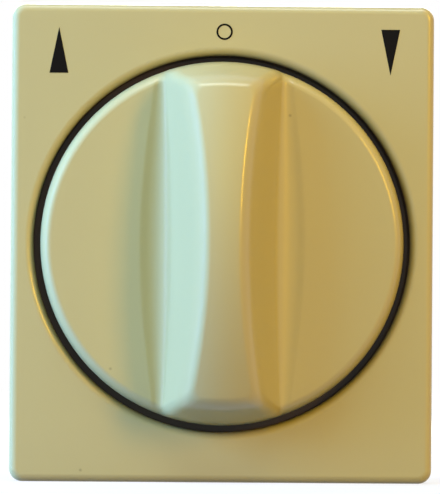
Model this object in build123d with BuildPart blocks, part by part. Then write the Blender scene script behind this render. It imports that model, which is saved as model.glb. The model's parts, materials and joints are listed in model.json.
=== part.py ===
from build123d import *
from math import cos, pi, radians, sin, sqrt, tan
import os

os.makedirs("parts", exist_ok=True)

# All sizes in millimetres. X is to the right, Z is up, and the wall is the plane y = 0.
# A height is a distance in front of the wall, so a point at height h lies at y = -h.

# Knob: a disc with two scooped wings and a domed grip ridge between them
KNOB_RADIUS = 30.1
KNOB_GAP = 1.1
KNOB_LIFT = 0.6
WING_ABOVE_FACE = 2.4
RIDGE_RISE = 14.0
RIDGE_END_LEAN = 3.8
RIDGE_END_RISE = 10.5
CROWN_LONG_RADIUS = 77.0
CROWN_CROSS_RADIUS = 22.0
CROWN_SWING = 40.0
FLANK_DRAFT = 22.0
RIDGE_FOOT = 9.2
RIDGE_FLARE = 0.9
SCOOP_MIDDLE_RADIUS = 7.3
SCOOP_END_RADIUS = 0.6
SCOOP_SWELL_POWER = 1.5
SCOOP_OVERRUN = 2.9
CROWN_ROUND = 0.6
RIM_ROUND = 0.8
KNOB_WALL = 2.0
KNOB_RIB_THICK = 1.4
HUB_RADIUS = 5.2
HUB_SLOT_WIDTH = 1.2
HUB_SLOT_DEPTH = 3.0
HUB_SLOT_ABOVE_RIBS = 0.2
SOCKET_DEPTH = 15.0
GROOVE_START = 1.2
GROOVE_WIDTH = 1.0
GROOVE_DEPTH = 0.6
RING_SPRING_PROUD = 0.35
RING_SPRING_THICK = 0.9
RING_SPRING_MOUTH = 3.2

# Cover plate
PLATE_SIDE_LAND = 3.8
PLATE_END_LAND = 8.35
PLATE_CORNER = 2.2
PLATE_EDGE_ROUND = 1.3
PLATE_WALL = 2.0
PLATE_TOP_THICK = 2.0
SKIRT_GAP = 0.3
STANDOFF = 3.2
RECESS_FLOOR_THICK = 1.8
RECESS_DEPTH = 4.8
LIP_ROUND = 1.5
CUP_WALL = 2.0
RIB_THICK = 1.2
RIB_SPACING = 18.0

# Fits
BEARING_CLEARANCE = 0.05
SCREW_CLEARANCE = 0.05
SEAT_GAP = 0.05
SLIDE_GAP = 0.2
EDGE_TOLERANCE = 0.05
CUT_OVERRUN = 1.0
CONE_ANGLE = 45.0

# Support ring
RING_THICK = 1.2
RING_WIDTH = 68.5
RING_TALL = 71.0
RING_CORNER_CUT = 8.0
OPENING_GAP = 0.3
FIXING_SPACING = 60.0
FIXING_HOLE_RADIUS = 2.1
SIDE_SLOT_WIDTH = 4.2
SIDE_SLOT_HALF_ANGLE = 9.0
BUSH_DEPTH = 1.6
BUSH_WALL = 1.0

# Mechanism housing: base, front cover and terminal cover behind
HOUSING_WIDTH = 40.0
HOUSING_TALL = 44.0
HOUSING_CORNER_CUT = 8.0
HOUSING_EDGE = 0.6
RIM_SEAT = 2.0
BASE_DEPTH = 13.5
CHAMBER_RADIUS = 15.0
CHAMBER_DEPTH = 11.0
FLANGE_THICK = 1.6
COLLAR_RADIUS = 5.45
COLLAR_HEIGHT = 5.4
COLLAR_HOLE_GAP = 0.5
TERMINAL_DEPTH = 13.5
REAR_WALL = 1.5
HOUSING_RIVET_X = 13.4
HOUSING_RIVET_Z = 14.4
HOUSING_RIVET_RADIUS = 1.2
RIVET_HEAD_OVERLAP = 1.0
RIVET_HEAD_THICK = 0.8
RIVET_BORE_RADIUS = 0.7
RIVET_BORE_DEPTH = 3.0

# Plate screws and the spacer bosses they pass through
BOSS_X = 20.0
BOSS_Z = 18.4
BOSS_RADIUS = 2.8
PLATE_SCREW_RADIUS = 1.45
PLATE_SCREW_HEAD = 2.6
PLATE_SCREW_SUNK = 0.2
SCREW_HOLE_GAP = 0.15
DRIVER_SLOT_WIDTH = 0.7
DRIVER_SLOT_DEPTH = 0.8

# Spindle and rotor
SPINDLE_RADIUS = 3.0
SPINDLE_FLAT = 2.3
SPINDLE_BACK = -12.8
SPINDLE_END_GAP = 0.1
SPINDLE_CHAMFER = 0.4
SPINDLE_FLANGE_RADIUS = 4.2
CLIP_GROOVE_RADIUS = 2.2
CLIP_RADIUS = 4.6
CLIP_THICK = 0.8
CLIP_MOUTH = 3.4
CLIP_EYE_RADIUS = 0.5
STAR_RADIUS = 12.8
STAR_FRONT = -0.6
STAR_THICK = 3.0
NOTCH_COUNT = 8
NOTCH_CENTRE = 13.2
NOTCH_RADIUS = 1.5
ROTOR_RADIUS = 11.5
ROTOR_THICK = 3.4
LUG_WIDTH = 5.0
LUG_REACH = 14.2
STOP_ANGLE = 46.5
STOP_WIDTH = 3.0
STOP_INNER = 13.2
STOP_HEIGHT = 7.5

# Detent springs beside the star
DETENT_POCKET_INNER = 12.0
DETENT_POCKET_OUTER = 17.2
DETENT_POCKET_LENGTH = 20.0
DETENT_SHEET = 0.5
DETENT_HEIGHT = 2.4
DETENT_NOTCH_GAP = 0.2
DETENT_NOSE_DEPTH = 3.25
DETENT_NOSE_HALF = 2.6
DETENT_HALF = 9.5

# Contacts
METAL_THICK = 0.8
COMMON_TRACK_RADIUS = 5.5
COMMON_TRACK_WIDTH = 2.2
CONTACT_RADIUS = 11.4
CONTACT_ANGLE = 45.0
CONTACT_PAD_RADIUS = 2.0
CONTACT_SHANK_RADIUS = 0.6
CONTACT_HEAD_RADIUS = 1.2
CONTACT_HEAD_THICK = 0.28
CONTACT_LIFT = 0.02
BRIDGE_WIDTH = 4.0
BRIDGE_INNER = 4.5
BRIDGE_OUTER = 12.6
BRIDGE_LEVEL = -9.4
GUIDE_THICK = 1.5
GUIDE_GAP = 0.3
GUIDE_LENGTH = 6.8
BRIDGE_SPRING_INNER = 5.2
BRIDGE_SPRING_OUTER = 12.0
BRIDGE_SPRING_WIDTH = 3.0
BRIDGE_SPRING_SHEET = 0.3

# Terminals
LEG_Z = 18.3
LEG_BACK = -23.5
SIDE_TERMINAL_X = 8.4
COMMON_TERMINAL_X = 4.2
TERMINAL_WIDTH = 5.0
CHANNEL_START = 10.0
COMMON_STRIP_START = 5.0
COMMON_LEG_START = 12.5
CLAMP_WIDTH = 5.2
CLAMP_THICK = 0.4
CLAMP_FOOT_Z = 5.8
CLAMP_CORNER_LEVEL = -12.2
CLAMP_END_Z = 17.9
CLAMP_END_LEVEL = -20.2
CLAMP_BEND = 1.8
COMPARTMENT_GAP = 0.6
WIRE_Z = 16.8
WIRE_RADIUS = 1.5
WIRE_ENTRY_CHAMFER = 0.4
WIRE_COLLAR = 1.0
BUTTON_Z = 11.3
BUTTON_STEM = 3.4
BUTTON_PROUD = 0.8
BUTTON_FLANGE_THICK = 1.0
BUTTON_FLANGE_EDGE = 0.7
BUTTON_NOSE_THICK = 2.0
BUTTON_NOSE_LEVEL = -16.9
BUTTON_CHAMFER = 0.3
SIDE_BUTTON_WIDTH = 4.0
COMMON_BUTTON_WIDTH = 10.0

# Claws at both sides of the housing, their screws and nuts
CLAW_SCREW_OFFSET = 4.2
CLAW_SCREW_RADIUS = 2.0
CLAW_SCREW_HEAD = 3.2
CLAW_SCREW_HEAD_THICK = 2.4
CLAW_SCREW_EDGE = 0.5
CLAW_SLOT_WIDTH = 0.9
CLAW_SLOT_DEPTH = 1.2
CLAW_SCREW_BACK = -24.0
CLAW_NUT_SIZE = 6.6
CLAW_NUT_BACK = -22.0
CLAW_NUT_THICK = 2.45
CLAW_SHEET = 1.5
CLAW_WIDTH = 12.4
CLAW_HOUSING_GAP = 0.4
CLAW_BEND_RADIUS = 0.9
CLAW_LEG_REACH = 3.0
CLAW_TIP_REACH = 4.4
CLAW_KNEE_LEVEL = -12.5
CLAW_TIP_LEVEL = -10.2
CLAW_TOOTH_SPACING = 4.0
CLAW_TOOTH_HALF = 1.4
CLAW_TOOTH_DEPTH = 1.8
RAMP_ANGLE = 30.0
RAMP_START_LEVEL = -18.6
RAMP_INNER_Z = 3.6
RAMP_OUTER_Z = 6.0
RAMP_ROOT = 1.0

# Levels and places that follow from the sizes above
RECESS_RADIUS = KNOB_RADIUS + KNOB_GAP
PLATE_WIDTH = 2 * (RECESS_RADIUS + PLATE_SIDE_LAND)
PLATE_TALL = 2 * (RECESS_RADIUS + PLATE_END_LAND)
SKIRT_BACK = RING_THICK + SKIRT_GAP
FLOOR_BACK = RING_THICK + STANDOFF
FLOOR_FRONT = FLOOR_BACK + RECESS_FLOOR_THICK
PLATE_FACE = FLOOR_FRONT + RECESS_DEPTH
KNOB_BOTTOM = FLOOR_FRONT + KNOB_LIFT
WING_LEVEL = PLATE_FACE + WING_ABOVE_FACE
CROWN_LEVEL = WING_LEVEL + RIDGE_RISE
SCOOP_REACH = KNOB_RADIUS + SCOOP_OVERRUN
COLLAR_TOP = RING_THICK + COLLAR_HEIGHT
HUB_BACK = COLLAR_TOP + 2 * SLIDE_GAP
SOCKET_FRONT = HUB_BACK + SOCKET_DEPTH
SPINDLE_FRONT = SOCKET_FRONT - SPINDLE_END_GAP
FLANGE_FRONT = RING_THICK + FLANGE_THICK
BASE_BACK = -BASE_DEPTH
HOUSING_BACK = BASE_BACK - TERMINAL_DEPTH
COMPARTMENT_BACK = HOUSING_BACK + REAR_WALL
CHAMBER_FLOOR = -CHAMBER_DEPTH
BUSBAR_FRONT = CHAMBER_FLOOR + METAL_THICK
LEG_END_Z = LEG_Z + METAL_THICK
STAR_BACK = STAR_FRONT - STAR_THICK
ROTOR_BACK = STAR_BACK - ROTOR_THICK
CLIP_BACK = ROTOR_BACK - SEAT_GAP - CLIP_THICK
CONTACT_FRONT = BUSBAR_FRONT + CONTACT_HEAD_THICK
CLAW_SCREW_X = HOUSING_WIDTH / 2 + CLAW_SCREW_OFFSET
CLAW_NUT_FRONT = CLAW_NUT_BACK + CLAW_NUT_THICK
CLAW_INNER_X = HOUSING_WIDTH / 2 + CLAW_HOUSING_GAP
CLAW_LEVEL = CLAW_NUT_FRONT + SEAT_GAP + CLAW_SHEET / 2

plate_screw_places = ((BOSS_X, BOSS_Z), (-BOSS_X, -BOSS_Z))
housing_rivet_places = ((HOUSING_RIVET_X, HOUSING_RIVET_Z), (-HOUSING_RIVET_X, -HOUSING_RIVET_Z))


def level(height):
    """Plane parallel to the wall at the given height, facing the room: local x is X, y is Z."""
    return Plane(origin=(0, -height, 0), x_dir=(1, 0, 0), z_dir=(0, -1, 0))


def across(z):
    """Plane at the given Z, facing down: local x is X, local y is the height."""
    return Plane(origin=(0, 0, z), x_dir=(1, 0, 0), z_dir=(0, 0, -1))


def along(x):
    """Plane at the given X, facing right: local x is Z, local y is the height."""
    return Plane(origin=(x, 0, 0), x_dir=(0, 0, 1), z_dir=(1, 0, 0))


def cut_corner_outline(width, tall, cut):
    """Rectangle with its four corners cut off at 45 degrees."""
    with BuildSketch() as outline:
        Rectangle(width, tall)
        chamfer(outline.vertices(), cut)
    return outline.sketch


def housing_outline(inset=0.0):
    """Outline of the mechanism housing, moved inwards by the inset."""
    cut = HOUSING_CORNER_CUT - inset * (2 - sqrt(2))
    return cut_corner_outline(HOUSING_WIDTH - 2 * inset, HOUSING_TALL - 2 * inset, cut)


def d_outline(clearance=0.0):
    """Round section with one flat at the top, as the spindle and its sockets have."""
    with BuildSketch() as outline:
        Circle(SPINDLE_RADIUS + clearance)
        with Locations((0, SPINDLE_FLAT + clearance + SPINDLE_RADIUS)):
            Rectangle(4 * SPINDLE_RADIUS, 2 * SPINDLE_RADIUS, mode=Mode.SUBTRACT)
    return outline.sketch


def scoop_radius(z):
    """Foot radius of the finger scoop: widest at the middle of the ridge, tight at its ends."""
    swell = (1 - (z / SCOOP_REACH) ** 2) ** SCOOP_SWELL_POWER
    return SCOOP_END_RADIUS + (SCOOP_MIDDLE_RADIUS - SCOOP_END_RADIUS) * swell


def ridge_foot(z):
    """Half width at which the ridge's flank would meet the wing, flaring out to the ends."""
    return RIDGE_FOOT + RIDGE_FLARE * (z / SCOOP_REACH) ** 2


# Outer form of the knob: turned blank, arched crown and two lofted finger scoops
draft = radians(FLANK_DRAFT)
crown_pivot = (0, CROWN_LONG_RADIUS - CROWN_LEVEL, 0)
arch_half = RIDGE_FOOT + SCOOP_OVERRUN
arch_sag = CROWN_CROSS_RADIUS - sqrt(CROWN_CROSS_RADIUS**2 - arch_half**2)
above_crown = CROWN_LEVEL + CUT_OVERRUN
flank_rise = above_crown + CUT_OVERRUN - WING_LEVEL
foot_reach = tan((pi / 2 - draft) / 2)
cutter_top = CROWN_LEVEL + RIDGE_RISE
beyond_rim = KNOB_RADIUS + SCOOP_OVERRUN
with BuildPart() as knob_form:
    # Upright rim up to the wings, leaning end walls above them
    with BuildSketch(across(0)):
        with BuildLine():
            Polyline(
                (0, KNOB_BOTTOM),
                (KNOB_RADIUS, KNOB_BOTTOM),
                (KNOB_RADIUS, WING_LEVEL),
                (KNOB_RADIUS - RIDGE_END_LEAN, WING_LEVEL + RIDGE_END_RISE),
                (KNOB_RADIUS - RIDGE_END_LEAN, above_crown),
                (0, above_crown),
                close=True,
            )
        make_face()
    revolve(axis=Axis.Y)
    # Crown: the arched cross section swung lengthwise about a far axis behind the wall
    for swing in (1, -1):
        with BuildSketch(across(0)):
            with BuildLine():
                arch = ThreePointArc(
                    (-arch_half, CROWN_LEVEL - arch_sag),
                    (0, CROWN_LEVEL),
                    (arch_half, CROWN_LEVEL - arch_sag),
                )
                Polyline(arch @ 1, (arch_half, cutter_top), (-arch_half, cutter_top), arch @ 0)
            make_face()
        revolve(axis=Axis(crown_pivot, (swing, 0, 0)), revolution_arc=CROWN_SWING, mode=Mode.SUBTRACT)
    # Finger scoops: flat wing, a foot radius that swells towards the middle, drafted flank
    for side in (1, -1):
        for share in (-1, -0.5, 0, 0.5, 1):
            z = share * SCOOP_REACH
            foot = ridge_foot(z)
            reach = scoop_radius(z) * foot_reach
            flank_start = (side * (foot - reach * sin(draft)), WING_LEVEL + reach * cos(draft))
            flank_end = (side * (foot - flank_rise * tan(draft)), WING_LEVEL + flank_rise)
            with BuildSketch(across(z)):
                with BuildLine():
                    floor = Line((side * beyond_rim, WING_LEVEL), (side * (foot + reach), WING_LEVEL))
                    sweep_up = TangentArc(floor @ 1, flank_start, tangent=floor % 1)
                    flank = Line(sweep_up @ 1, flank_end)
                    Polyline(flank @ 1, (side * beyond_rim, WING_LEVEL + flank_rise), floor @ 0)
                make_face()
        loft(mode=Mode.SUBTRACT)
    wing_rims = knob_form.edges().filter_by(
        lambda e: e.geom_type == GeomType.CIRCLE
        and abs(-e.center().Y - WING_LEVEL) < EDGE_TOLERANCE
        and abs(e.center().X) > RIDGE_FOOT
    )
    fillet(wing_rims, RIM_ROUND)
    ridge_edges = knob_form.edges().filter_by(
        lambda e: (-e.center().Y > WING_LEVEL + RIDGE_RISE / 2)
        or (-e.center().Y > WING_LEVEL + RIDGE_RISE / 5 and abs(e.center().Z) > KNOB_RADIUS / 2)
    )
    fillet(ridge_edges, CROWN_ROUND)

# Hollow behind the knob: under the wings and inside the ridge, around the hub and the ribs
cavity_half = RIDGE_FOOT + KNOB_WALL * (tan(draft) - 1 / cos(draft))
cavity_radius = KNOB_RADIUS - KNOB_WALL
cavity_end = sqrt(cavity_radius**2 - cavity_half**2)
with BuildPart() as knob_hollow:
    with BuildSketch(level(WING_LEVEL - KNOB_WALL)):
        Rectangle(2 * cavity_half, 2 * cavity_end)
    extrude(amount=RIDGE_RISE, taper=FLANK_DRAFT)
    with BuildSketch(along(-KNOB_RADIUS)):
        with Locations((0, CROWN_LEVEL - KNOB_WALL - CROWN_LONG_RADIUS)):
            Circle(CROWN_LONG_RADIUS)
    extrude(amount=2 * KNOB_RADIUS, mode=Mode.INTERSECT)
    with BuildSketch(level(KNOB_BOTTOM - CUT_OVERRUN)):
        Circle(cavity_radius)
    extrude(amount=WING_LEVEL - KNOB_WALL - KNOB_BOTTOM + CUT_OVERRUN)
    with BuildSketch(level(HUB_BACK)):
        Circle(HUB_RADIUS)
    extrude(amount=CROWN_LEVEL, mode=Mode.SUBTRACT)
    with BuildSketch(level(HUB_BACK + HUB_SLOT_DEPTH + HUB_SLOT_ABOVE_RIBS)):
        Rectangle(KNOB_RIB_THICK, 2 * KNOB_RADIUS)
        Rectangle(2 * KNOB_RADIUS, KNOB_RIB_THICK)
    extrude(amount=CROWN_LEVEL, mode=Mode.SUBTRACT)

# Knob: the outer form less the hollow, with the spindle socket and the slot and groove of the hub
with BuildPart() as rotary_knob:
    add(knob_form.part)
    add(knob_hollow.part, mode=Mode.SUBTRACT)
    with BuildSketch(level(HUB_BACK)):
        add(d_outline(BEARING_CLEARANCE))
    extrude(amount=SOCKET_DEPTH, mode=Mode.SUBTRACT)
    with BuildSketch(level(HUB_BACK)):
        Rectangle(2 * HUB_RADIUS + CUT_OVERRUN, HUB_SLOT_WIDTH)
    extrude(amount=HUB_SLOT_DEPTH, mode=Mode.SUBTRACT)
    with BuildSketch(level(HUB_BACK + GROOVE_START)):
        Circle(HUB_RADIUS + CUT_OVERRUN)
        Circle(HUB_RADIUS - GROOVE_DEPTH, mode=Mode.SUBTRACT)
    extrude(amount=GROOVE_WIDTH, mode=Mode.SUBTRACT)
rotary_knob.part.label = "rotary_knob"
export_step(rotary_knob.part, "parts/rotary_knob.step")

# Open ring spring that presses the slotted hub on to the spindle
with BuildPart() as knob_ring_spring:
    with BuildSketch(level(HUB_BACK + GROOVE_START + SEAT_GAP)):
        Circle(HUB_RADIUS + RING_SPRING_PROUD)
        Circle(HUB_RADIUS - GROOVE_DEPTH + SEAT_GAP, mode=Mode.SUBTRACT)
        with Locations((0, -HUB_RADIUS)):
            Rectangle(RING_SPRING_MOUTH, 2 * (RING_SPRING_PROUD + GROOVE_DEPTH), mode=Mode.SUBTRACT)
    extrude(amount=RING_SPRING_THICK)
knob_ring_spring.part.label = "knob_ring_spring"
export_step(knob_ring_spring.part, "parts/knob_ring_spring.step")

# Cover plate with the round recess for the knob
with BuildPart() as cover_plate:
    with BuildSketch(level(SKIRT_BACK)):
        RectangleRounded(PLATE_WIDTH, PLATE_TALL, PLATE_CORNER)
    extrude(amount=PLATE_FACE - SKIRT_BACK)
    fillet(cover_plate.faces().sort_by(Axis.Y)[0].edges(), PLATE_EDGE_ROUND)
    with BuildSketch(level(SKIRT_BACK)):
        RectangleRounded(PLATE_WIDTH - 2 * PLATE_WALL, PLATE_TALL - 2 * PLATE_WALL, PLATE_CORNER / 2)
    extrude(amount=PLATE_FACE - PLATE_TOP_THICK - SKIRT_BACK, mode=Mode.SUBTRACT)
    with BuildSketch(level(FLOOR_BACK)):
        Circle(RECESS_RADIUS + CUP_WALL)
    extrude(amount=PLATE_FACE - PLATE_TOP_THICK / 2 - FLOOR_BACK)
    # Ribs between the cup and the upper and lower skirt
    with BuildSketch(level(FLOOR_BACK)):
        for x in (-RIB_SPACING, 0.0, RIB_SPACING):
            inner = sqrt((RECESS_RADIUS + CUP_WALL / 2) ** 2 - x**2)
            outer = PLATE_TALL / 2 - PLATE_WALL / 2
            with Locations((x, (inner + outer) / 2), (x, -(inner + outer) / 2)):
                Rectangle(RIB_THICK, outer - inner)
    extrude(amount=PLATE_FACE - PLATE_TOP_THICK / 2 - FLOOR_BACK)
    # Spacer bosses that stand on the support ring
    with BuildSketch(level(RING_THICK)):
        with GridLocations(2 * BOSS_X, 2 * BOSS_Z, 2, 2):
            Circle(BOSS_RADIUS)
    extrude(amount=FLOOR_FRONT - RING_THICK)
    with BuildSketch(level(FLOOR_FRONT)):
        Circle(RECESS_RADIUS)
    extrude(amount=RECESS_DEPTH, mode=Mode.SUBTRACT)
    lip = cover_plate.edges().filter_by(GeomType.CIRCLE).filter_by(
        lambda e: abs(e.radius - RECESS_RADIUS) < EDGE_TOLERANCE
    )
    fillet(lip.sort_by(Axis.Y)[0], LIP_ROUND)
    with BuildSketch(level(FLOOR_BACK)):
        Circle(COLLAR_RADIUS + COLLAR_HOLE_GAP)
    extrude(amount=RECESS_FLOOR_THICK, mode=Mode.SUBTRACT)
    with BuildSketch(level(RING_THICK)):
        with Locations(*plate_screw_places):
            Circle(PLATE_SCREW_RADIUS + SCREW_HOLE_GAP)
    extrude(amount=FLOOR_FRONT - RING_THICK, mode=Mode.SUBTRACT)
    with BuildSketch(level(FLOOR_FRONT)):
        with Locations(*plate_screw_places):
            Circle(PLATE_SCREW_HEAD + PLATE_SCREW_SUNK)
    extrude(
        amount=-(PLATE_SCREW_HEAD + SEAT_GAP - PLATE_SCREW_RADIUS),
        taper=CONE_ANGLE,
        mode=Mode.SUBTRACT,
    )
cover_plate.part.label = "cover_plate"
export_step(cover_plate.part, "parts/cover_plate.step")

# Two countersunk screws that hold the plate on the support ring
plate_screw_front = FLOOR_FRONT - PLATE_SCREW_SUNK
with BuildPart() as plate_screws:
    with BuildSketch(level(plate_screw_front)):
        with Locations(*plate_screw_places):
            Circle(PLATE_SCREW_HEAD)
    extrude(amount=-(PLATE_SCREW_HEAD - PLATE_SCREW_RADIUS), taper=CONE_ANGLE)
    with BuildSketch(level(-BUSH_DEPTH)):
        with Locations(*plate_screw_places):
            Circle(PLATE_SCREW_RADIUS)
    extrude(amount=plate_screw_front + BUSH_DEPTH)
    with BuildSketch(level(plate_screw_front)):
        with Locations(*plate_screw_places):
            Rectangle(2 * PLATE_SCREW_HEAD + CUT_OVERRUN, DRIVER_SLOT_WIDTH)
    extrude(amount=-DRIVER_SLOT_DEPTH, mode=Mode.SUBTRACT)
plate_screws.part.label = "plate_screws"
export_step(plate_screws.part, "parts/plate_screws.step")

# Spindle: a round shaft with a flat for the rotor and for the knob, a flange and a clip groove
with BuildPart() as drive_spindle:
    with BuildSketch(level(SPINDLE_BACK)):
        add(d_outline())
    extrude(amount=STAR_FRONT - SPINDLE_BACK)
    with BuildSketch(level(STAR_FRONT)):
        Circle(SPINDLE_FLANGE_RADIUS)
    extrude(amount=-STAR_FRONT - 2 * SEAT_GAP)
    with BuildSketch(level(STAR_FRONT)):
        Circle(SPINDLE_RADIUS)
    extrude(amount=COLLAR_TOP + SLIDE_GAP - STAR_FRONT)
    with BuildSketch(level(COLLAR_TOP + SLIDE_GAP)):
        add(d_outline())
    extrude(amount=SPINDLE_FRONT - COLLAR_TOP - SLIDE_GAP)
    with BuildSketch(level(CLIP_BACK - SEAT_GAP)):
        Circle(SPINDLE_RADIUS + CUT_OVERRUN)
        Circle(CLIP_GROOVE_RADIUS, mode=Mode.SUBTRACT)
    extrude(amount=CLIP_THICK + 2 * SEAT_GAP, mode=Mode.SUBTRACT)
    chamfer(drive_spindle.faces().sort_by(Axis.Y)[0].edges(), SPINDLE_CHAMFER)
drive_spindle.part.label = "drive_spindle"
export_step(drive_spindle.part, "parts/drive_spindle.step")

# Snap clip behind the rotor
with BuildPart() as spindle_clip:
    with BuildSketch(level(CLIP_BACK)):
        Circle(CLIP_RADIUS)
        Circle(CLIP_GROOVE_RADIUS + SEAT_GAP, mode=Mode.SUBTRACT)
        with Locations((0, -CLIP_RADIUS / 2)):
            Rectangle(CLIP_MOUTH, CLIP_RADIUS + SLIDE_GAP, mode=Mode.SUBTRACT)
        with Locations((-CLIP_MOUTH, 0), (CLIP_MOUTH, 0)):
            Circle(CLIP_EYE_RADIUS, mode=Mode.SUBTRACT)
    extrude(amount=CLIP_THICK)
spindle_clip.part.label = "spindle_clip"
export_step(spindle_clip.part, "parts/spindle_clip.step")

# Rotor: detent star in front, body with stop lug and bridge guides behind
guide_x = BRIDGE_WIDTH / 2 + GUIDE_GAP + GUIDE_THICK / 2
guide_z = BRIDGE_OUTER - GUIDE_LENGTH / 2
with BuildPart() as rotor:
    with BuildSketch(level(STAR_BACK)):
        Circle(STAR_RADIUS)
        with PolarLocations(NOTCH_CENTRE, NOTCH_COUNT):
            Circle(NOTCH_RADIUS, mode=Mode.SUBTRACT)
    extrude(amount=STAR_THICK)
    with BuildSketch(level(ROTOR_BACK)):
        Circle(ROTOR_RADIUS)
        with Locations((0, -LUG_REACH / 2)):
            Rectangle(LUG_WIDTH, LUG_REACH)
        with Locations((0, BRIDGE_OUTER / 2)):
            Rectangle(BRIDGE_WIDTH + 2 * (GUIDE_GAP + GUIDE_THICK), BRIDGE_OUTER)
    extrude(amount=ROTOR_THICK)
    with BuildSketch(level(BRIDGE_LEVEL)):
        with Locations((-guide_x, guide_z), (guide_x, guide_z)):
            Rectangle(GUIDE_THICK, GUIDE_LENGTH)
    extrude(amount=ROTOR_BACK - BRIDGE_LEVEL)
    with BuildSketch(level(ROTOR_BACK)):
        add(d_outline(BEARING_CLEARANCE))
    extrude(amount=STAR_FRONT - ROTOR_BACK, mode=Mode.SUBTRACT)
rotor.part.label = "rotor"
export_step(rotor.part, "parts/rotor.step")

# Copper bridge that turns with the rotor and joins the middle track to a fixed contact
bridge_contact_places = ((0, COMMON_TRACK_RADIUS), (0, CONTACT_RADIUS))
with BuildPart() as contact_bridge:
    with BuildSketch(level(BRIDGE_LEVEL)):
        with Locations((0, (BRIDGE_INNER + BRIDGE_OUTER) / 2)):
            RectangleRounded(BRIDGE_WIDTH, BRIDGE_OUTER - BRIDGE_INNER, METAL_THICK)
        with Locations(*bridge_contact_places):
            Circle(CONTACT_SHANK_RADIUS, mode=Mode.SUBTRACT)
    extrude(amount=METAL_THICK)
contact_bridge.part.label = "contact_bridge"
export_step(contact_bridge.part, "parts/contact_bridge.step")

# Silver rivets of the bridge: one runs on the middle track, one meets the fixed contacts
with BuildPart() as bridge_contact_rivets:
    with BuildSketch(level(BRIDGE_LEVEL)):
        with Locations(*bridge_contact_places):
            Circle(CONTACT_SHANK_RADIUS)
    extrude(amount=METAL_THICK)
    for place, tip in zip(bridge_contact_places, (BUSBAR_FRONT, CONTACT_FRONT)):
        with BuildSketch(level(tip + CONTACT_LIFT)):
            with Locations(place):
                Circle(CONTACT_HEAD_RADIUS - CONTACT_LIFT)
        extrude(amount=BRIDGE_LEVEL - tip - CONTACT_LIFT)
bridge_contact_rivets.part.label = "bridge_contact_rivets"
export_step(bridge_contact_rivets.part, "parts/bridge_contact_rivets.step")

# Arched leaf spring between rotor and bridge, which presses the bridge on to its contacts
leaf_low = BRIDGE_LEVEL + METAL_THICK + SEAT_GAP + BRIDGE_SPRING_SHEET / 2
leaf_high = ROTOR_BACK - SEAT_GAP - BRIDGE_SPRING_SHEET / 2
with BuildPart() as bridge_spring:
    with BuildSketch(along(-BRIDGE_SPRING_WIDTH / 2)):
        with BuildLine():
            ThreePointArc(
                (BRIDGE_SPRING_INNER, leaf_low),
                ((BRIDGE_SPRING_INNER + BRIDGE_SPRING_OUTER) / 2, leaf_high),
                (BRIDGE_SPRING_OUTER, leaf_low),
            )
        trace(line_width=BRIDGE_SPRING_SHEET)
    extrude(amount=BRIDGE_SPRING_WIDTH)
bridge_spring.part.label = "bridge_spring"
export_step(bridge_spring.part, "parts/bridge_spring.step")

# Steel support ring that lies on the wall box
slot_radius = FIXING_SPACING / 2
ring_slot_right = CenterArc((0, 0), slot_radius, -SIDE_SLOT_HALF_ANGLE, 2 * SIDE_SLOT_HALF_ANGLE)
ring_slot_left = CenterArc((0, 0), slot_radius, 180 - SIDE_SLOT_HALF_ANGLE, 2 * SIDE_SLOT_HALF_ANGLE)
with BuildPart() as support_ring:
    with BuildSketch(level(0)):
        add(cut_corner_outline(RING_WIDTH, RING_TALL, RING_CORNER_CUT))
        add(housing_outline(RIM_SEAT - OPENING_GAP), mode=Mode.SUBTRACT)
        with Locations((0, -FIXING_SPACING / 2), (0, FIXING_SPACING / 2)):
            Circle(FIXING_HOLE_RADIUS, mode=Mode.SUBTRACT)
        with Locations((-CLAW_SCREW_X, 0), (CLAW_SCREW_X, 0)):
            Circle(CLAW_SCREW_RADIUS + SLIDE_GAP, mode=Mode.SUBTRACT)
        SlotArc(ring_slot_right, SIDE_SLOT_WIDTH, mode=Mode.SUBTRACT)
        SlotArc(ring_slot_left, SIDE_SLOT_WIDTH, mode=Mode.SUBTRACT)
    extrude(amount=RING_THICK)
    # Threaded bushes for the plate screws
    with BuildSketch(level(-BUSH_DEPTH)):
        with Locations(*plate_screw_places):
            Circle(PLATE_SCREW_RADIUS + BUSH_WALL)
    extrude(amount=BUSH_DEPTH)
    with BuildSketch(level(-BUSH_DEPTH)):
        with Locations(*plate_screw_places):
            Circle(PLATE_SCREW_RADIUS + SCREW_CLEARANCE)
    extrude(amount=BUSH_DEPTH + RING_THICK, mode=Mode.SUBTRACT)
support_ring.part.label = "support_ring"
export_step(support_ring.part, "parts/support_ring.step")

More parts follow.
